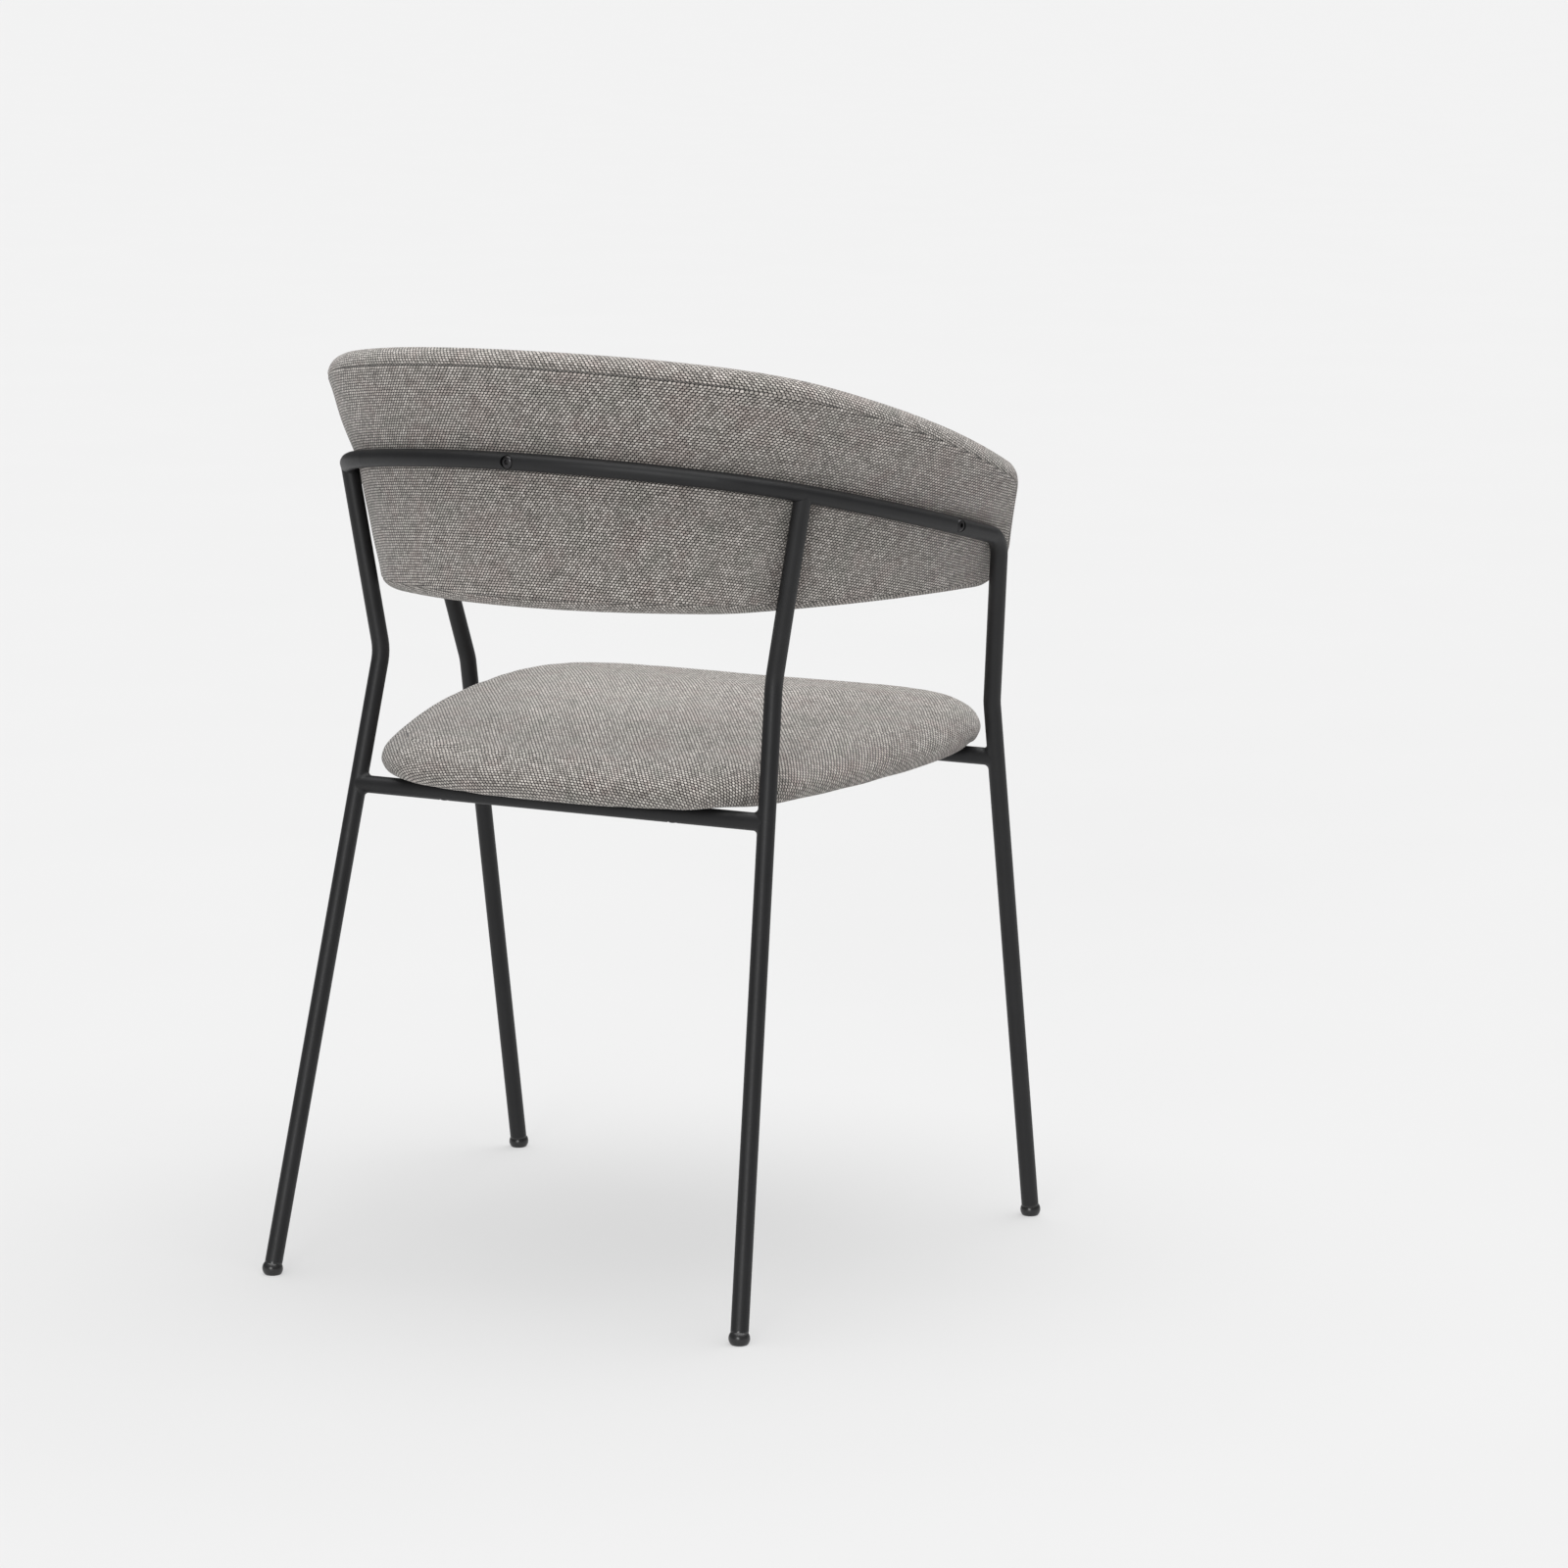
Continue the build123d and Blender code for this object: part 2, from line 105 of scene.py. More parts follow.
def rounded_corner(line_in, line_out, radius):
    """Two lines that cross, joined by an arc of that radius on the left of both."""
    def shifted(line):
        along = np.gradient(line, axis=0)
        along /= np.linalg.norm(along, axis=1)[:, None]
        return line + radius * np.stack([-along[:, 1], along[:, 0]], -1)

    first, second = shifted(line_in), shifted(line_out)
    gaps = np.linalg.norm(first[:, None] - second[None], axis=2)
    i, j = np.unravel_index(gaps.argmin(), gaps.shape)
    centre = (first[i] + second[j]) / 2
    start = line_in[i] - centre
    end = line_out[j] - centre
    angle = math.atan2(start[1], start[0])
    turn = (math.atan2(end[1], end[0]) - angle) % (2 * math.pi)
    angles = angle + np.linspace(0, turn, 24)
    arc = centre + radius * np.stack([np.cos(angles), np.sin(angles)], -1)
    return np.concatenate([line_in[:i], arc, line_out[j + 1:]])


def pad_mesh(name, sides, rings_upper, rings_lower, place):
    """A closed pad over a four-sided outline.

    sides are the outline's bottom, right, top and left lines. Each ring is (inset, level, spread, panel):
    spread is the ring's inset from the outline on the flat fabric, and panel is the fabric's offset.
    place(points, level, inset) gives world points. The faces inside the last rings are filled.
    """
    bottom, right, top, left = sides
    loop = np.concatenate([bottom[:-1], right[:-1], top[::-1][:-1], left[::-1][:-1]])
    normals = loop_normals(loop)
    normals = (np.roll(normals, 1, axis=0) + normals * 2 + np.roll(normals, -1, axis=0)) / 4
    normals /= np.linalg.norm(normals, axis=1)[:, None]
    columns, rows = len(bottom), len(left)
    count = len(loop)
    ring_index = np.arange(count)
    points, cloth, faces = [], [], []
    made = 0

    def add_cap(flat, level, inset, panel, start, flip):
        """The grid inside a ring, which shares the ring's points."""
        ring = np.concatenate([flat, flat[:1]])
        far = columns + rows - 2
        grid = coons(ring[:columns], ring[columns - 1:far + 1], ring[far:far + columns][::-1], ring[far + columns - 1:][::-1])
        index = np.full((rows, columns), -1)
        ids = start + np.concatenate([ring_index, [0]])
        index[0, :] = ids[:columns]
        index[:, -1] = ids[columns - 1:far + 1]
        index[-1, :] = ids[far:far + columns][::-1]
        index[:, 0] = ids[far + columns - 1:][::-1]
        inner = grid[1:-1, 1:-1].reshape(-1, 2)
        index[1:-1, 1:-1] = made + np.arange(len(inner)).reshape(rows - 2, columns - 2)
        points.append(place(inner, level, inset + edge_distance(inner, flat)))
        cloth.append(np.column_stack([inner + panel, np.full(len(inner), level)]))
        quads = np.stack([index[:-1, :-1], index[:-1, 1:], index[1:, 1:], index[1:, :-1]], -1).reshape(-1, 4)
        faces.extend((quads[:, ::-1] if flip else quads).tolist())
        return len(inner)

    for lower, rings in enumerate((rings_upper, rings_lower)):
        previous = 0
        for number, (inset, level, spread, panel) in enumerate(rings):
            flat = loop + normals * inset
            start = made
            if lower and not number:
                continue
            points.append(place(flat, level, inset))
            cloth.append(np.column_stack([loop + normals * spread + panel, np.full(count, level)]))
            made += count
            if number:
                after = (ring_index + 1) % count
                quads = np.stack([previous + ring_index, previous + after, start + after, start + ring_index], -1)
                faces.extend((quads[:, ::-1] if lower else quads).tolist())
            previous = start
        made += add_cap(flat, level, inset, panel, start, bool(lower))
    return make_object(name, np.concatenate(points), faces, np.concatenate(cloth))


def edge_distance(points, loop):
    """Distance from each point to the nearest point of a loop."""
    out = np.empty(len(points))
    for begin in range(0, len(points), 500):
        block = points[begin:begin + 500]
        out[begin:begin + 500] = np.linalg.norm(block[:, None] - loop[None], axis=2).min(axis=1)
    return out


def swell(pad, held, voxel, pressure, cap, frames=16):
    """Inflates a remeshed copy of a pad as cloth and carries its movement over to the pad.

    held(points) is how firmly each point is held, 0 to 1. No point moves further than cap.
    """
    scene = bpy.context.scene
    double = bpy.data.objects.new(pad.name + "_cloth", pad.data.copy())
    scene.collection.objects.link(double)
    remesh = double.modifiers.new("remesh", "REMESH")
    remesh.mode = "VOXEL"
    remesh.voxel_size = voxel
    apply_modifiers(double)
    start = read_points(double.data)
    group = double.vertex_groups.new(name="held")
    for index, weight in enumerate(held(start)):
        if weight > 0:
            group.add([index], float(weight), "REPLACE")
    cloth = double.modifiers.new("cloth", "CLOTH")
    settings = cloth.settings
    settings.quality = 5
    settings.mass = 0.3
    settings.tension_stiffness = 15
    settings.compression_stiffness = 15
    settings.bending_stiffness = 2
    settings.use_pressure = True
    settings.uniform_pressure_force = pressure
    settings.vertex_group_mass = "held"
    settings.pin_stiffness = 1
    settings.effector_weights.gravity = 0
    cloth.collision_settings.use_self_collision = False
    cloth.point_cache.frame_start = 1
    cloth.point_cache.frame_end = frames
    for number in range(1, frames + 1):
        scene.frame_set(number)
    graph = bpy.context.evaluated_depsgraph_get()
    moved = read_points(double.evaluated_get(graph).data) - start
    scene.frame_set(1)
    mesh = double.data
    bpy.data.objects.remove(double)
    bpy.data.meshes.remove(mesh)
    length = np.linalg.norm(moved, axis=1)[:, None]
    moved = moved * np.tanh(length / cap) * cap / np.maximum(length, 1e-9)
    tree = KDTree(len(start))
    for index, point in enumerate(start):
        tree.insert(point, index)
    tree.balance()
    points = read_points(pad.data)
    for index, point in enumerate(points):
        found = tree.find_n(point, 12)
        weights = np.array([1 / (f[2] ** 2 + (voxel / 2) ** 2) for f in found])
        points[index] = point + weights @ moved[[f[1] for f in found]] / weights.sum()
    write_points(pad.data, points)
    print("swell", pad.name, len(start), "points, free movement most", round(float(length.max()) * 1000, 1), "mm")
    applied = np.linalg.norm(moved, axis=1) * 1000
    print("applied mean", round(float(applied.mean()), 3), "mm, most", round(float(applied.max()), 3), "mm")


def read_points(mesh):
    """The points of a mesh as rows of x, y, z."""
    flat = np.empty(len(mesh.vertices) * 3)
    mesh.vertices.foreach_get("co", flat)
    return flat.reshape(-1, 3)


def write_points(mesh, points):
    """Moves the points of a mesh."""
    mesh.vertices.foreach_set("co", np.asarray(points).ravel())
    mesh.update()


def apply_modifiers(obj):
    """Applies all modifiers of an object to its mesh."""
    graph = bpy.context.evaluated_depsgraph_get()
    mesh = bpy.data.meshes.new_from_object(
        obj.evaluated_get(graph), preserve_all_data_layers=True, depsgraph=graph
    )
    obj.modifiers.clear()
    obj.data = mesh


# ---------------------------------------------------------------- backrest
def rail_point(s):
    """x, y and heading of the rail's axis in its own plane, at signed distance s from the middle."""
    side = np.sign(s)
    rest = np.abs(s)
    x = np.zeros_like(rest)
    y = np.zeros_like(rest)
    heading = np.zeros_like(rest)
    for radius, turn in RAIL_ARCS:
        part = np.clip(rest, 0, radius * turn)
        new_heading = heading + part / radius
        x = x + radius * (np.sin(new_heading) - np.sin(heading))
        y = y + radius * (np.cos(new_heading) - np.cos(heading))
        heading = new_heading
        rest = rest - part
    x = x + rest * np.cos(heading)
    y = y - rest * np.sin(heading)
    return x * side, y, heading * side


def back_point(flat, level):
    """World point of the back: flat holds the distance along the rail and the height on the pad's mid
    surface, level is the height over that surface, outwards."""
    s, v = flat[:, 0], flat[:, 1]
    mid_radius = FLARE_RADIUS + BACK_HALF_THICK
    x, y, heading = rail_point(s)
    angle = FLARE + v / mid_radius
    radius = mid_radius - level
    out = FLARE_REACH * math.cos(FLARE) - radius * np.cos(angle)
    up = -FLARE_REACH * math.sin(FLARE) + radius * np.sin(angle)
    x = x + out * np.sin(heading)
    y = y + out * np.cos(heading)
    c, t = math.cos(RAIL_TILT), math.sin(RAIL_TILT)
    return np.stack([x, RAIL_Y + c * y - t * up, RAIL_Z + t * y + c * up], -1)


def solve(function, low, high, rounds=40):
    """Where a rising function crosses zero, for arrays of limits."""
    for _ in range(rounds):
        middle = (low + high) / 2
        above = function(middle) > 0
        high = np.where(above, middle, high)
        low = np.where(above, low, middle)
    return (low + high) / 2


def circle_through(a, b, c):
    """Centre and radius of the circle through three points."""
    matrix = 2 * np.array([b - a, c - a])
    centre = np.linalg.solve(matrix, np.array([b @ b - a @ a, c @ c - a @ a]))
    return centre, np.linalg.norm(a - centre)


TOP_CENTRE, TOP_RADIUS = circle_through(
    np.array([-0.136, 0.681]), np.array([0.05, 0.7495]), np.array([0.26, 0.806])
)


def top_height(y):
    """Height of the back's top edge at a place along the chair."""
    return TOP_CENTRE[1] + math.copysign(1, 0.7495 - TOP_CENTRE[1]) * np.sqrt(TOP_RADIUS**2 - (y - TOP_CENTRE[0]) ** 2)


def bottom_height(y):
    """Height of the back's bottom edge."""
    return 0.574 + (y + 0.181) * 0.007 / 0.441


def front_edge(y, z):
    """Positive in front of the back's slanted front edge."""
    return -((y + 0.1835) * 0.107 - (z - 0.574) * 0.045) / math.hypot(0.107, 0.045)


BACK_CORNER = 0.034
COLUMNS = 181
ROWS = 25


def back_sides():
    """The back's outline on its mid surface as bottom, right, top and left lines."""
    s = np.linspace(0, 0.56, 561)

    def edge(height):
        def over(v):
            p = back_point(np.stack([s, v], -1), 0.0)
            return p[:, 2] - height(p[:, 1])
        return np.stack([s, solve(over, np.full_like(s, -0.2), np.full_like(s, 0.2))], -1)

    v = np.linspace(-0.2, 0.2, 401)

    def front(s_values):
        p = back_point(np.stack([s_values, v], -1), 0.0)
        return front_edge(p[:, 1], p[:, 2])

    front_line = np.stack([solve(front, np.full_like(v, 0.3), np.full_like(v, 0.62)), v], -1)
    bottom_line, top_line = edge(bottom_height), edge(top_height)
    half = rounded_corner(bottom_line, front_line, BACK_CORNER)
    half = rounded_corner(half, top_line[::-1], BACK_CORNER)
    return half


def split_sides(half, corner_low, corner_high, columns, rows):
    """Half a symmetric outline, from the bottom middle round to the top middle, as four sides."""
    steps = np.linalg.norm(np.diff(half, axis=0), axis=1)
    along = np.concatenate([[0], np.cumsum(steps)])
    low, high = np.searchsorted(along, [corner_low, corner_high])
    flip = np.array([-1.0, 1.0])
    bottom_half = resample(half[:low + 1], columns // 2 + 1)
    right = resample(half[low:high + 1], rows)
    top_half = resample(half[high:], columns // 2 + 1)[::-1]
    bottom = np.concatenate([(bottom_half * flip)[::-1][:-1], bottom_half])
    top = np.concatenate([(top_half * flip)[::-1][:-1], top_half])
    return bottom, right, top, right * flip


half_outline = back_sides()
steps = np.concatenate([[0], np.cumsum(np.linalg.norm(np.diff(half_outline, axis=0), axis=1))])
corner_at = [
    steps[i] for i in (
        np.argmin(half_outline @ np.array([-0.8, 0.6])),
        np.argmax(half_outline @ np.array([0.75, 0.66])),
    )
]
sides = split_sides(half_outline, corner_at[0], corner_at[1], COLUMNS, ROWS)

ROLL = BACK_HALF_THICK
SEAM_INSET = 0.0095
SEAM_DEPTH = 0.0007


MAIN_PANEL = np.array([0.0, 0.0])
OUTER_PANEL = np.array([3.0, 1.0])
QUARTER_ROLL = ROLL * math.pi / 2
RIM_FLAT = 0.0185


def inner_rings():
    """The sitter's side of the rim, from its equator to the flat."""
    rings = []
    for a in np.radians([0, 15, 30, 45, 60, 75, 90]):
        rings.append((ROLL * (1 - math.cos(a)), -ROLL * math.sin(a), ROLL + ROLL * a - QUARTER_ROLL, MAIN_PANEL))
    rings.append((RIM_FLAT, -ROLL, RIM_FLAT, MAIN_PANEL))
    return rings


def outer_rings():
    """The rail's side of the rim: the main cover rolls over it to a sewn seam, where the outer panel starts."""
    rim_spread = ROLL - QUARTER_ROLL
    rings = []
    for a in np.radians([0, 15, 30, 45, 57]):
        rings.append((ROLL * (1 - math.cos(a)), ROLL * math.sin(a), rim_spread - ROLL * a, MAIN_PANEL))
    seam_angle = math.acos(1 - SEAM_INSET / ROLL)

    def level(inset):
        return math.sqrt(ROLL**2 - (ROLL - min(inset, ROLL)) ** 2)

    for offset, drop in ((-0.0019, 0.0), (-0.0009, 0.25), (-0.0002, 1.0)):
        inset = SEAM_INSET + offset
        rings.append((inset, level(inset) - SEAM_DEPTH * drop, rim_spread - ROLL * seam_angle - offset, MAIN_PANEL))
    for offset, drop in ((0.0002, 1.0), (0.0009, 0.3), (0.0019, 0.0), (0.0050, 0.0), (0.0095, 0.0)):
        inset = SEAM_INSET + offset
        rings.append((inset, level(inset) - SEAM_DEPTH * drop, inset, OUTER_PANEL))
    return rings


def smooth(value, low, high):
    """0 below low, 1 above high, smooth in between."""
    t = np.clip((value - low) / (high - low), 0, 1)
    return t * t * (3 - 2 * t)


def ripple(points, seed, size):
    """A smooth field of small waves, between about -1 and 1, the same each run."""
    rng = np.random.default_rng(seed)
    total = np.zeros(len(points))
    for _ in range(14):
        direction = rng.normal(size=2)
        direction /= np.linalg.norm(direction)
        wave = 2 * math.pi / (size * rng.uniform(0.7, 1.8))
        total += np.sin(points @ direction * wave + rng.uniform(0, 2 * math.pi))
    return total / 14 ** 0.5 / 1.4


def place_back(flat, level, inset):
    """Adds the padding's swell: the outer face is held flat by the rail, the inner face is crowned."""
    deep = smooth(inset, 0.012, 0.05)
    if level > 0:
        off_rail = 1 - np.exp(-((flat[:, 1] / 0.02) ** 2))
        swell = deep * (0.0022 * off_rail + 0.0004 * ripple(flat, 3, 0.09))
    else:
        swell = -deep * (0.0035 + 0.0006 * ripple(flat, 5, 0.11))
    return back_point(flat, level + swell)


back = pad_mesh("back_upholstery", sides, outer_rings(), inner_rings(), place_back)

# ---------------------------------------------------------------- seat
SEAT_BOTTOM = 0.011
SEAT_EQUATOR = 0.0188
SEAT_SHOULDER = 0.0405
SEAT_CROWN = 0.0572
CROWN_REACH = 0.176
TOP_ROLL = 0.038
UNDER_ROLL = 0.0115
STRETCHERS_Y = (-0.1625, 0.136)
SEAT_PANEL = np.array([5.0, 0.0])
UNDER_PANEL = np.array([7.0, 1.0])


def seat_point(flat, height):
    """World point of the seat: flat is the place in its plane, height is over the stretcher axes."""
    c, t = math.cos(SEAT_TILT), math.sin(SEAT_TILT)
    y, z = flat[:, 1], np.broadcast_to(height, len(flat))
    return np.stack([flat[:, 0], y * c + z * t, SEAT_PLANE_Z - y * t + z * c], -1)


def seat_half():
    """Half the seat's plan from the front middle round its left side to the rear middle."""
    control = np.array(
        [
            (0.0, -0.2520), (0.08, -0.2540), (0.148, -0.2520), (0.1940, -0.2405), (0.2205, -0.219), (0.2365, -0.192),
            (0.2440, -0.161), (0.2460, -0.124), (0.2435, -0.081), (0.2365, -0.036), (0.2250, 0.0095),
            (0.2110, 0.0555), (0.1975, 0.0975), (0.1790, 0.1285), (0.159, 0.146), (0.137, 0.157), (0.098, 0.165),
            (0.05, 0.1705), (0.0, 0.173),
        ]
    )
    mirrored = control[1:-1] * np.array([-1, 1])
    ring = np.concatenate([control, mirrored[::-1]])
    for _ in range(4):
        before, after = np.roll(ring, 1, axis=0), np.roll(ring, -1, axis=0)
        middle = (ring + after) / 2
        ring = (before + 6 * ring + after) / 8
        ring = np.stack([ring, middle], 1).reshape(-1, 2)
    count = (len(control) - 1) * 16
    half = ring[:count + 1].copy()
    half[0, 0] = 0.0
    half[-1, 0] = 0.0
    return half


seat_outline = seat_half()
along_seat = np.concatenate([[0], np.cumsum(np.linalg.norm(np.diff(seat_outline, axis=0), axis=1))])
seat_corners = [
    along_seat[i] for i in (
        np.argmax(seat_outline @ np.array([0.7, -0.7])),
        np.argmax(seat_outline @ np.array([0.6, 0.8])),
    )
]
seat_sides = split_sides(seat_outline, seat_corners[0], seat_corners[1], 97, 73)


def seat_rings(angles, roll, rise, end_spread):
    """Rings round part of the seat's edge, from its equator, as (inset, level, spread, panel)."""
    profile = [(roll * (1 - math.cos(a)), SEAT_EQUATOR + rise * math.sin(a)) for a in np.radians(angles)]
    arcs = np.concatenate([[0], np.cumsum(np.linalg.norm(np.diff(np.array(profile), axis=0), axis=1))])
    start_spread = end_spread - arcs[-1] if rise > 0 else end_spread
    direction = 1 if rise > 0 else -1
    return [(p[0], p[1], start_spread + direction * arc, SEAT_PANEL) for p, arc in zip(profile, arcs)]


TOP_ANGLES = (0, 11, 22, 33, 44, 55, 66)
upper_rings = seat_rings(TOP_ANGLES, TOP_ROLL, SEAT_SHOULDER - SEAT_EQUATOR, TOP_ROLL * (1 - math.cos(math.radians(66))))
lower_rings = seat_rings((0, 18, 36, 54, 72, 90), UNDER_ROLL, SEAT_BOTTOM - SEAT_EQUATOR, upper_rings[0][2])
lower_rings.append((0.0145, SEAT_BOTTOM, lower_rings[-1][2] - 0.003, SEAT_PANEL))
lower_rings.append((0.0150, SEAT_BOTTOM, 0.0150, UNDER_PANEL))


def place_seat(flat, level, inset):
    """The top's height follows the distance from the edge; the lower roll is gathered a little."""
    inset = np.broadcast_to(inset, len(flat)).astype(float)
    if level > SEAT_EQUATOR + 1e-6:
        t = np.clip(1 - inset / TOP_ROLL, 0, 1)
        roll = SEAT_EQUATOR + (SEAT_SHOULDER - SEAT_EQUATOR) * np.sqrt(np.maximum(0, 1 - t**2))
        dome = (SEAT_CROWN - SEAT_SHOULDER) * smooth(inset, 0.0, CROWN_REACH)
        height = roll + dome + 0.0005 * smooth(inset, 0.02, 0.06) * ripple(flat, 11, 0.12)
    elif level < SEAT_EQUATOR - 1e-6:
        low = (SEAT_EQUATOR - level) / (SEAT_EQUATOR - SEAT_BOTTOM)
        hang = smooth(inset, 0.0005, 0.005) * (1 - smooth(inset, 0.0100, 0.0135))
        by_tube = sum(np.exp(-(((flat[:, 1] - y) / 0.014) ** 2)) for y in STRETCHERS_Y)
        height = level - hang * low * (0.0021 + 0.0027 * (1 - by_tube) + 0.0005 * ripple(flat, 17, 0.035))
    else:
        height = np.full(len(flat), level)
    return seat_point(flat, height)


seat = pad_mesh("seat_upholstery", seat_sides, upper_rings, lower_rings, place_seat)


rail_spots = back_point(np.stack([np.linspace(-0.5, 0.5, 401), np.zeros(401)], -1), BACK_HALF_THICK)


def held_on_rail(points):
    """The back is held where its outer face lies on the rail."""
    distance = np.array([np.linalg.norm(rail_spots - point, axis=1).min() for point in points])
    return 1 - smooth(distance, 0.006, 0.02)


def held_on_board(points):
    """The seat is held on its underside, where the fabric is stapled to the board."""
    c, t = math.cos(SEAT_TILT), math.sin(SEAT_TILT)
    height = points[:, 1] * t + (points[:, 2] - SEAT_PLANE_Z) * c
    return 1 - smooth(height, SEAT_BOTTOM + 0.001, SEAT_BOTTOM + 0.008)


swell(back, held_on_rail, 0.006, 1.2, 0.0010)
swell(seat, held_on_board, 0.006, 1.2, 0.0012)

for pad in (back, seat):
    rounder = pad.modifiers.new("smooth", "SUBSURF")
    rounder.levels = 1
    rounder.render_levels = 1
    apply_modifiers(pad)
    for polygon in pad.data.polygons:
        polygon.use_smooth = True


# ---------------------------------------------------------------- staples under the seat
COVER_UNDERSIDE = 0.010
STAPLE_INSET = 0.021
STAPLE_SPACING = 0.042
STAPLE_WIRE = 0.00035
STAPLE_HALF_WIDTH = 0.0055


def staples(name):
    """Wire staples in a row just inside the edge of the dust cover."""
    loop = np.concatenate([seat_outline, (seat_outline[1:-1] * (-1, 1))[::-1]])
    loop = loop + loop_normals(loop) * STAPLE_INSET
    closed = np.concatenate([loop, loop[:1]])
    length = np.linalg.norm(np.diff(closed, axis=0), axis=1).sum()
    spots = resample(closed, int(length / STAPLE_SPACING) + 1)[:-1]
    ahead = np.roll(spots, -1, axis=0) - np.roll(spots, 1, axis=0)
    ahead /= np.linalg.norm(ahead, axis=1)[:, None]
    w, r = STAPLE_HALF_WIDTH, STAPLE_WIRE
    path = np.array([(-w, 0.0003), (-w, -r / 2), (-w + 2 * r, -r), (w - 2 * r, -r), (w, -r / 2), (w, 0.0003)])
    tangent = np.gradient(path, axis=0)
    tangent /= np.linalg.norm(tangent, axis=1)[:, None]
    turns = np.linspace(0, 2 * math.pi, 6, endpoint=False)
    points, faces = [], []
    for spot, along in zip(spots, ahead):
        if min(abs(spot[1] - y) for y in STRETCHERS_Y) < 0.012:
            continue
        across = np.array([-along[1], along[0]])
        first = len(points)
        for (x, z), (tx, tz) in zip(path, tangent):
            for turn in turns:
                side, up = r * math.cos(turn), r * math.sin(turn)
                flat = spot + along * (x - tz * up) + across * side
                points.append((flat[0], flat[1], COVER_UNDERSIDE + z + tx * up))
        for ring in range(len(path) - 1):
            for k in range(6):
                a, b = first + ring * 6 + k, first + ring * 6 + (k + 1) % 6
                faces.append((a, b, b + 6, a + 6))
        faces.append(tuple(first + k for k in range(5, -1, -1)))
        faces.append(tuple(len(points) - 6 + k for k in range(6)))
    points = np.array(points)
    return make_object(name, seat_point(points[:, :2], points[:, 2]), faces)


seat_staples = staples("seat_staples")


# ---------------------------------------------------------------- materials
class Nodes:
    """A short way to write a node material."""

    def __init__(self, name):
        self.material = bpy.data.materials.new(name)
        self.material.use_nodes = True
        self.tree = self.material.node_tree
        self.tree.nodes.clear()
        self.shader = self.tree.nodes.new("ShaderNodeBsdfPrincipled")
        output = self.tree.nodes.new("ShaderNodeOutputMaterial")
        self.tree.links.new(self.shader.outputs[0], output.inputs["Surface"])

    def put(self, socket, value):
        if isinstance(value, bpy.types.NodeSocket):
            self.tree.links.new(value, socket)
        elif isinstance(value, (tuple, list)) and len(value) == 3 and socket.type == "RGBA":
            socket.default_value = (*value, 1.0)
        else:
            socket.default_value = value

    def node(self, kind, inputs=(), **settings):
        made = self.tree.nodes.new(kind)
        for key, value in settings.items():
            setattr(made, key, value)
        for key, value in dict(inputs).items():
            self.put(made.inputs[key], value)
        return made

    def math(self, operation, *values, clamp=False):
        made = self.node("ShaderNodeMath", operation=operation, use_clamp=clamp)
        for socket, value in zip(made.inputs, values):
            self.put(socket, value)
        return made.outputs[0]

    def vector(self, operation, *values):
        made = self.node("ShaderNodeVectorMath", operation=operation)
        for socket, value in zip(made.inputs, values):
            self.put(socket, value)
        return made.outputs[0]

    def scaled(self, vector, factor):
        made = self.node("ShaderNodeVectorMath", operation="SCALE")
        self.put(made.inputs[0], vector)
        self.put(made.inputs["Scale"], factor)
        return made.outputs[0]

    def noise(self, vector, scale, detail=2.0, rough=0.5, output="Fac"):
        return self.node(
            "ShaderNodeTexNoise", {"Vector": vector, "Scale": scale, "Detail": detail, "Roughness": rough}
        ).outputs[output]

    def ramp(self, value, low, high, to_low=0.0, to_high=1.0, kind="SMOOTHSTEP"):
        return self.node(
            "ShaderNodeMapRange",
            {"Value": value, "From Min": low, "From Max": high, "To Min": to_low, "To Max": to_high},
            interpolation_type=kind,
        ).outputs[0]

    def mix(self, share, a, b):
        made = self.node("ShaderNodeMix", data_type="RGBA")
        self.put(made.inputs[0], share)
        self.put(made.inputs[6], a)
        self.put(made.inputs[7], b)
        return made.outputs[2]

    def bump(self, height, distance, strength=1.0, normal=None):
        inputs = {"Height": height, "Distance": distance, "Strength": strength}
        if normal is not None:
            inputs["Normal"] = normal
        return self.node("ShaderNodeBump", inputs).outputs[0]

    def finish(self, **inputs):
        for key, value in inputs.items():
            self.put(self.shader.inputs[key.replace("_", " ")], value)
        return self.material


PITCH_ALONG = 0.0033
PITCH_UP = 0.0023


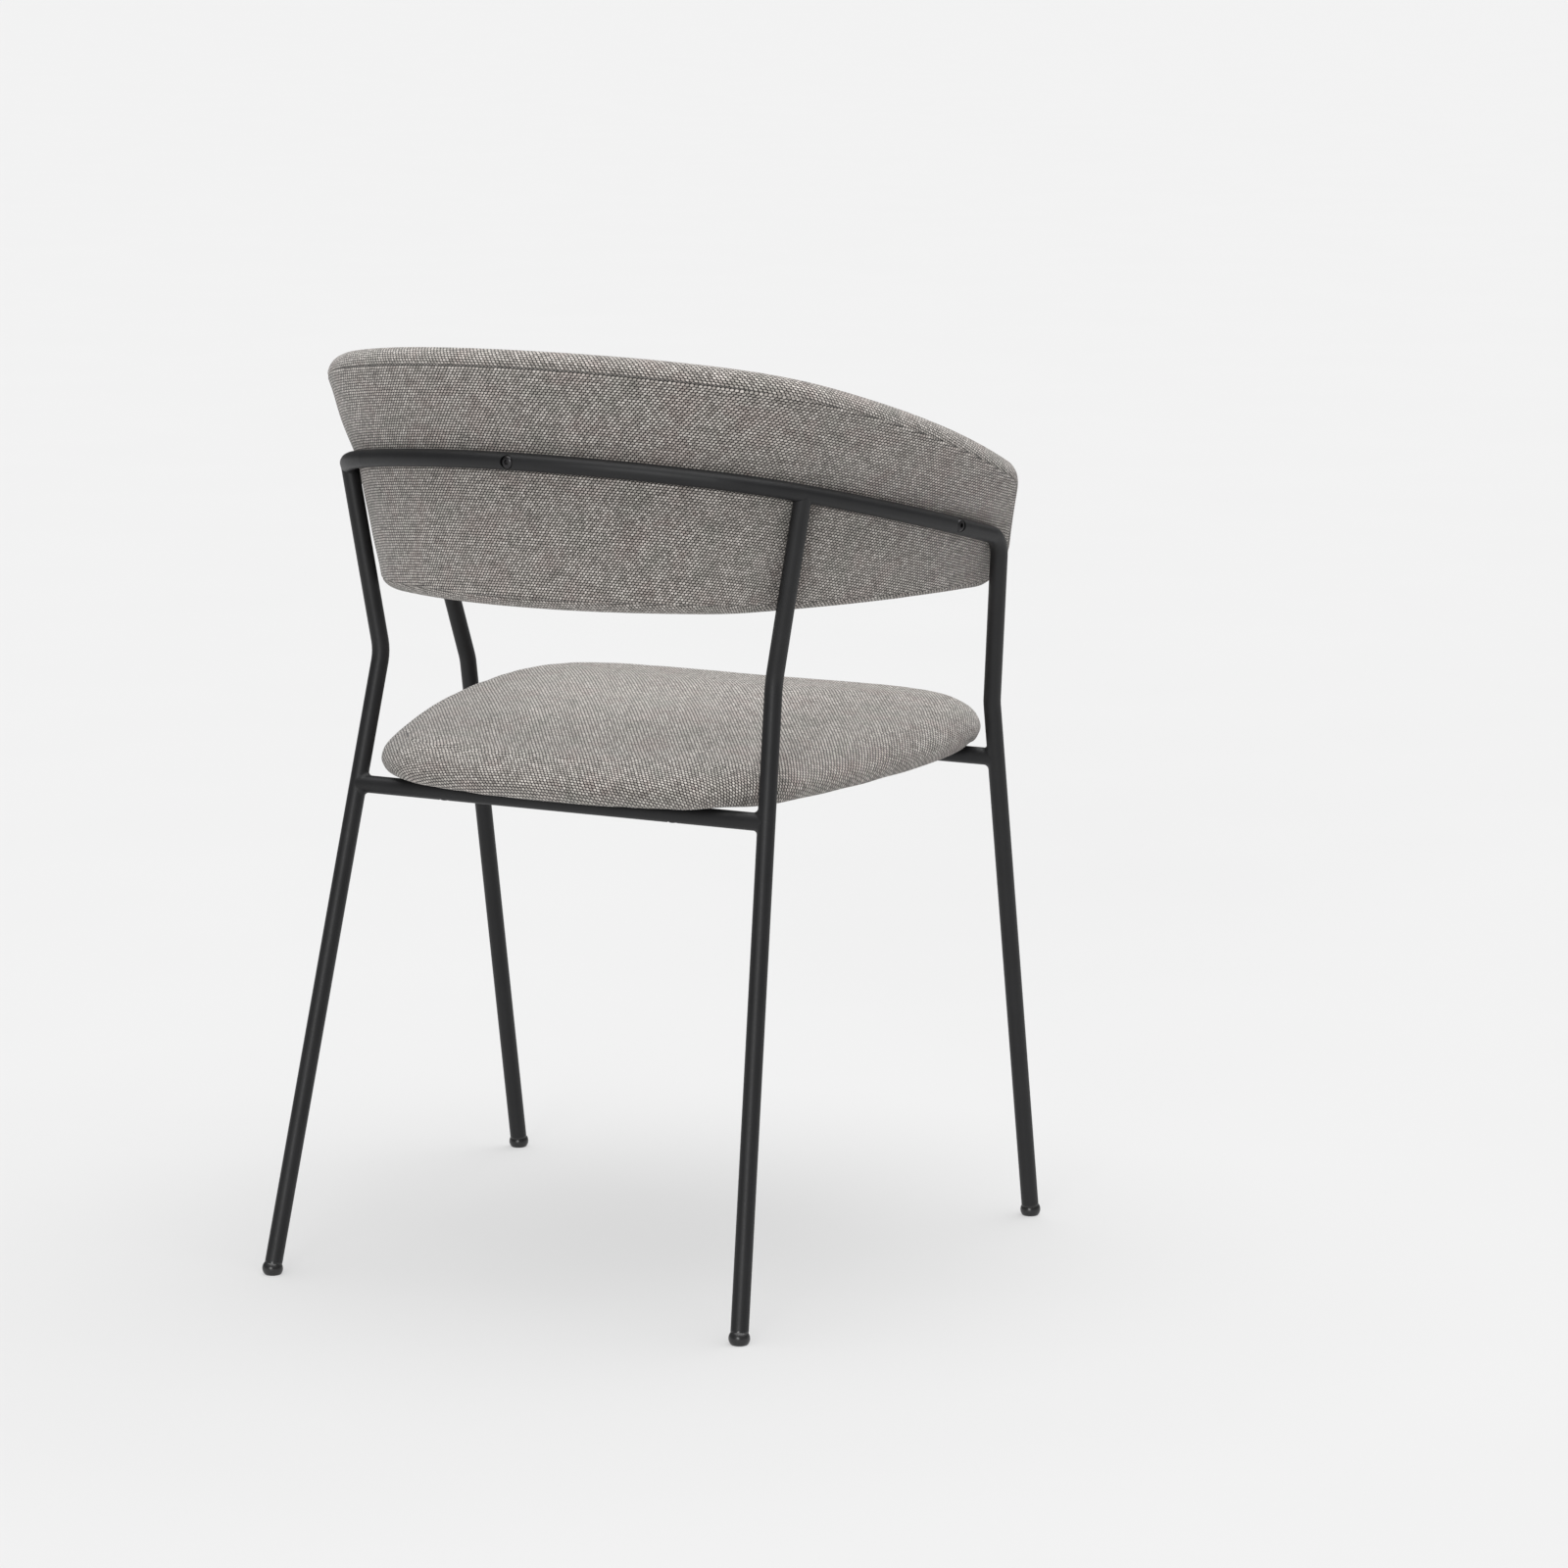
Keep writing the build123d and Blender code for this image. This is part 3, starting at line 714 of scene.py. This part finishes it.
def woven_fabric(name, light=1.0):
    """Coarse melange cloth: short yarn floats laid like bricks, with painted shade in the gaps between them."""
    n = Nodes(name)
    cloth = n.node("ShaderNodeAttribute", attribute_name="cloth").outputs["Vector"]
    wander = n.noise(cloth, 160.0, 2.0, 0.5, "Color")
    wander = n.vector("SUBTRACT", wander, (0.5, 0.5, 0.5))
    cloth_bent = n.vector("ADD", cloth, n.scaled(wander, 0.0008))
    parts = n.node("ShaderNodeSeparateXYZ", {"Vector": cloth_bent})
    u = n.math("DIVIDE", parts.outputs[0], PITCH_ALONG)
    v = n.math("DIVIDE", parts.outputs[1], PITCH_UP)
    row = n.math("FLOOR", v)
    odd = n.math("MULTIPLY", n.math("FLOORED_MODULO", row, 2.0), 0.5)
    u = n.math("ADD", u, odd)
    column = n.math("FLOOR", u)
    x = n.math("SUBTRACT", n.math("SUBTRACT", u, column), 0.5)
    y = n.math("SUBTRACT", n.math("SUBTRACT", v, row), 0.5)
    lean = n.math("MULTIPLY", x, 0.22)
    y = n.math("ADD", y, lean)
    rx = n.math("POWER", n.math("ABSOLUTE", n.math("DIVIDE", x, 0.50)), 2.2)
    ry = n.math("POWER", n.math("ABSOLUTE", n.math("DIVIDE", y, 0.51)), 2.2)
    height = n.math("SUBTRACT", 1.0, n.math("ADD", rx, ry), clamp=True)
    height = n.math("SQRT", height)
    cell = n.node("ShaderNodeCombineXYZ", {"X": column, "Y": row, "Z": 0.0}).outputs[0]
    each = n.node("ShaderNodeTexWhiteNoise", {"Vector": cell}, noise_dimensions="3D").outputs["Value"]
    weft_place = n.node("ShaderNodeCombineXYZ", {"X": n.math("MULTIPLY", u, 0.12), "Y": row, "Z": 3.0}).outputs[0]
    weft = n.noise(weft_place, 1.0, 2.0, 0.6)
    warp_place = n.node("ShaderNodeCombineXYZ", {"X": column, "Y": n.math("MULTIPLY", v, 0.10), "Z": 9.0}).outputs[0]
    warp = n.noise(warp_place, 1.0, 2.0, 0.6)
    fibre = n.noise(cloth, 3200.0, 2.0, 0.6)
    tone = n.math("ADD", n.math("MULTIPLY", each, 0.15), n.math("MULTIPLY", weft, 0.22))
    tone = n.math("ADD", tone, n.math("MULTIPLY", warp, 0.20))
    tone = n.math("ADD", tone, n.math("MULTIPLY", fibre, 0.42))
    tone = n.ramp(tone, 0.24, 0.70)
    dark = tuple(c * light for c in (0.150, 0.136, 0.126))
    middle = tuple(c * light for c in (0.400, 0.368, 0.338))
    pale = tuple(c * light for c in (0.74, 0.695, 0.650))
    yarn = n.mix(n.ramp(tone, 0.0, 0.45), dark, middle)
    yarn = n.mix(n.ramp(tone, 0.40, 1.0), yarn, pale)
    tint = n.noise(cloth, 38.0, 3.0, 0.55)
    yarn = n.mix(n.ramp(tint, 0.50, 0.66, 0.0, 0.24), yarn, tuple(c * light for c in (0.44, 0.33, 0.31)))
    yarn = n.mix(n.ramp(tint, 0.47, 0.33, 0.0, 0.20), yarn, tuple(c * light for c in (0.31, 0.335, 0.285)))
    # Painted shade: the near-black where the weave's height is low stands in for the shade in the recesses between the
    # yarns.
    painted_gap_shade = tuple(c * light for c in (0.0085, 0.0075, 0.0070))
    colour = n.mix(n.ramp(height, 0.33, 0.90), painted_gap_shade, yarn)
    relief = n.math("ADD", n.math("MULTIPLY", height, 1.0), n.math("MULTIPLY", fibre, 0.22))
    broad = n.noise(cloth, 55.0, 2.0, 0.5)
    normal = n.bump(broad, 0.0008, 0.4)
    normal = n.bump(relief, 0.0007, 0.9, normal)
    rough = n.ramp(fibre, 0.2, 0.8, 0.82, 0.98, "LINEAR")
    return n.finish(
        Base_Color=colour, Roughness=rough, Normal=normal, Sheen_Weight=0.3, Sheen_Roughness=0.45,
        Specular_IOR_Level=0.25,
    )


def object_place(n):
    return n.node("ShaderNodeTexCoord").outputs["Object"]


def powder_coat(name):
    """Matte black powder coat: fine orange peel, faint dust and rubbed spots."""
    n = Nodes(name)
    place = object_place(n)
    peel = n.noise(place, 900.0, 3.0, 0.6)
    patch = n.noise(place, 22.0, 4.0, 0.55)
    wear = n.node("ShaderNodeNewGeometry").outputs["Pointiness"]
    colour = n.mix(n.ramp(patch, 0.35, 0.75), (0.0070, 0.0071, 0.0078), (0.0098, 0.0099, 0.0108))
    colour = n.mix(n.ramp(wear, 0.56, 0.66, 0.0, 0.25), colour, (0.040, 0.040, 0.042))
    rough = n.ramp(peel, 0.25, 0.75, 0.44, 0.56, "LINEAR")
    normal = n.bump(peel, 0.00012, 0.35)
    return n.finish(Base_Color=colour, Roughness=rough, Normal=normal, Specular_IOR_Level=0.38)


def moulded_plastic(name, base, rough_low, rough_high, grain):
    """Black moulded plastic with a fine eroded texture and lighter scuffs."""
    n = Nodes(name)
    place = object_place(n)
    fine = n.noise(place, grain, 3.0, 0.6)
    scuff = n.noise(place, 240.0, 4.0, 0.7)
    colour = n.mix(n.ramp(scuff, 0.58, 0.74, 0.0, 0.4), base, tuple(c * 2.6 for c in base))
    rough = n.ramp(fine, 0.3, 0.7, rough_low, rough_high, "LINEAR")
    normal = n.bump(fine, 0.00008, 0.3)
    return n.finish(Base_Color=colour, Roughness=rough, Normal=normal)


def metal(name, base, rough_low, rough_high, stretch=(1.0, 1.0, 1.0)):
    """Plated or blackened steel with fine lines from its forming and uneven plating."""
    n = Nodes(name)
    place = n.vector("MULTIPLY", object_place(n), stretch)
    lines = n.noise(place, 1400.0, 2.0, 0.6)
    cloud = n.noise(place, 180.0, 3.0, 0.5)
    colour = n.mix(n.ramp(cloud, 0.35, 0.7), base, tuple(c * 0.72 for c in base))
    rough = n.ramp(cloud, 0.3, 0.7, rough_low, rough_high, "LINEAR")
    normal = n.bump(lines, 0.00005, 0.3)
    return n.finish(Base_Color=colour, Roughness=rough, Normal=normal, Metallic=1.0)


def plywood(name):
    """Raw birch plywood: long grain."""
    n = Nodes(name)
    place = object_place(n)
    grain = n.noise(n.vector("MULTIPLY", place, (4.0, 90.0, 90.0)), 3.0, 4.0, 0.6)
    colour = n.mix(n.ramp(grain, 0.35, 0.7), (0.62, 0.45, 0.27), (0.42, 0.27, 0.14))
    return n.finish(Base_Color=colour, Roughness=0.7, Normal=n.bump(grain, 0.0003, 0.4))


def foam(name):
    """Open-cell foam."""
    n = Nodes(name)
    place = object_place(n)
    cells = n.node("ShaderNodeTexVoronoi", {"Vector": place, "Scale": 900.0}).outputs["Distance"]
    colour = n.mix(n.ramp(cells, 0.1, 0.6), (0.52, 0.47, 0.34), (0.80, 0.76, 0.62))
    return n.finish(Base_Color=colour, Roughness=0.95, Normal=n.bump(cells, 0.0006, 0.6))


def non_woven(name):
    """Black spun-bonded cloth with a grid of bonded dots."""
    n = Nodes(name)
    place = object_place(n)
    parts = n.node("ShaderNodeSeparateXYZ", {"Vector": place})
    dots = []
    for axis in (0, 1):
        wave = n.math("SINE", n.math("MULTIPLY", parts.outputs[axis], 2 * math.pi / 0.0022))
        dots.append(wave)
    dot = n.ramp(n.math("MULTIPLY", dots[0], dots[1]), 0.25, 0.7)
    fibres = n.noise(place, 1500.0, 4.0, 0.7)
    colour = n.mix(n.ramp(fibres, 0.3, 0.7), (0.016, 0.016, 0.017), (0.050, 0.050, 0.052))
    colour = n.mix(n.math("MULTIPLY", dot, 0.6), colour, (0.012, 0.012, 0.012))
    relief = n.math("SUBTRACT", fibres, n.math("MULTIPLY", dot, 0.8))
    return n.finish(Base_Color=colour, Roughness=0.85, Normal=n.bump(relief, 0.0003, 0.6), Sheen_Weight=0.1)


fabric = woven_fabric("greige_weave", 0.98)
steel_black = powder_coat("black_powder_coat")
glide_plastic = moulded_plastic("black_glide_plastic", (0.016, 0.016, 0.0165), 0.24, 0.38, 1200.0)
pad_plastic = moulded_plastic("black_pad_plastic", (0.022, 0.022, 0.023), 0.5, 0.65, 900.0)
screw_steel = metal("black_oxide_steel", (0.055, 0.054, 0.056), 0.28, 0.42)
zinc_steel = metal("zinc_plated_steel", (0.62, 0.63, 0.66), 0.25, 0.42, (1.0, 1.0, 0.2))
board_wood = plywood("birch_plywood")
foam_material = foam("pale_foam")
dust_cloth = non_woven("black_non_woven")

NODE_MATERIALS = {
    "bow_tube": steel_black,
    "front_stretcher": steel_black,
    "rear_stretcher": steel_black,
    "rear_leg_left": steel_black,
    "rear_leg_right": steel_black,
    "glide_front_left": glide_plastic,
    "glide_front_right": glide_plastic,
    "glide_rear_left": glide_plastic,
    "glide_rear_right": glide_plastic,
    "backrest_board": board_wood,
    "seat_board": board_wood,
    "backrest_foam": foam_material,
    "seat_foam": foam_material,
    "backrest_cover_outer": fabric,
    "backrest_cover_inner": fabric,
    "seat_cover": fabric,
    "seat_dust_cover": dust_cloth,
    "seat_pads": pad_plastic,
    "backrest_screws": screw_steel,
    "seat_screws": screw_steel,
    "backrest_inserts": zinc_steel,
    "seat_tee_nuts": zinc_steel,
}
for node_name, node_material in NODE_MATERIALS.items():
    node_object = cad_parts[node_name]
    for material_slot in node_object.material_slots:
        material_slot.material = node_material

for pad, slot_nodes in (
    (back, ("backrest_cover_outer", "backrest_cover_inner", "backrest_foam")),
    (seat, ("seat_cover", "seat_foam")),
):
    pad.data.materials.append(fabric)
    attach(pad, BODY)
    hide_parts(*slot_nodes)
seat_staples.data.materials.append(zinc_steel)
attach(seat_staples, BODY)

# ---------------------------------------------------------------- floor, light and camera
floor_material = Nodes("pale_floor")
floor_cloud = floor_material.noise(object_place(floor_material), 3.0, 3.0, 0.5)
floor_colour = floor_material.mix(floor_cloud, (0.240, 0.240, 0.240), (0.250, 0.250, 0.250))
floor_material.finish(
    Base_Color=floor_colour, Roughness=0.9, Specular_IOR_Level=0.1,
    Emission_Color=(1.0, 1.0, 1.0), Emission_Strength=0.48,
)


def disc(name, radii, segments):
    """A flat round floor made of rings."""
    points, faces = [(0.0, 0.0, 0.0)], []
    for radius in radii:
        for k in range(segments):
            a = 2 * math.pi * k / segments
            points.append((radius * math.cos(a), radius * math.sin(a), 0.0))
    for k in range(segments):
        faces.append((0, 1 + k, 1 + (k + 1) % segments))
    for ring in range(len(radii) - 1):
        near, far = 1 + ring * segments, 1 + (ring + 1) * segments
        for k in range(segments):
            after = (k + 1) % segments
            faces.append((near + k, far + k, far + after, near + after))
    return make_object(name, points, faces)


floor = disc("studio_floor", (2.0, 8.0, 30.0, 90.0), 48)
floor.data.materials.append(floor_material.material)


def soft_sun(name, place, spread, strength, colour=(1.0, 1.0, 1.0)):
    """A distant soft lamp that shines from a place towards the object."""
    data = bpy.data.lights.new(name, "SUN")
    data.angle = math.radians(spread)
    data.energy = strength
    data.color = colour
    lamp = bpy.data.objects.new(name, data)
    lamp.location = place
    lamp.rotation_euler = (-Vector(place)).to_track_quat("-Z", "Y").to_euler()
    bpy.context.scene.collection.objects.link(lamp)
    return lamp


soft_sun("top_light", (-0.2, -0.2, 3.0), 80.0, 4.10)
soft_sun("back_light", (-0.9, 4.0, 1.0), 20.0, 1.10)
soft_sun("front_light", (-1.2, -3.4, 3.4), 50.0, 0.45)

world = bpy.data.worlds.new("studio")
bpy.context.scene.world = world
world.use_nodes = True
world_tree = world.node_tree
sky_light = world_tree.nodes["Background"]
sky_light.inputs["Color"].default_value = (1.0, 1.0, 1.0, 1.0)
sky_light.inputs["Strength"].default_value = 0.17
backdrop = world_tree.nodes.new("ShaderNodeBackground")
backdrop.inputs["Color"].default_value = (1.0, 1.0, 1.0, 1.0)
backdrop.inputs["Strength"].default_value = 0.88
seen = world_tree.nodes.new("ShaderNodeLightPath")
world_mix = world_tree.nodes.new("ShaderNodeMixShader")
world_tree.links.new(seen.outputs["Is Camera Ray"], world_mix.inputs[0])
world_tree.links.new(sky_light.outputs[0], world_mix.inputs[1])
world_tree.links.new(backdrop.outputs[0], world_mix.inputs[2])
world_tree.links.new(world_mix.outputs[0], world_tree.nodes["World Output"].inputs["Surface"])
bpy.context.scene.view_settings.view_transform = "Standard"

CAMERA_YAW = math.radians(152.292)
CAMERA_PITCH = math.radians(-10.256)
camera_data = bpy.data.cameras.new("camera")
camera_data.sensor_width = 36.0
camera_data.lens = 116.88
camera_data.clip_end = 60.0
camera = bpy.data.objects.new("camera", camera_data)
camera.location = (-2.1086, 3.7455, 1.1820)
camera.rotation_euler = (math.pi / 2 + CAMERA_PITCH, 0.0, -CAMERA_YAW)
bpy.context.scene.collection.objects.link(camera)
bpy.context.scene.camera = camera
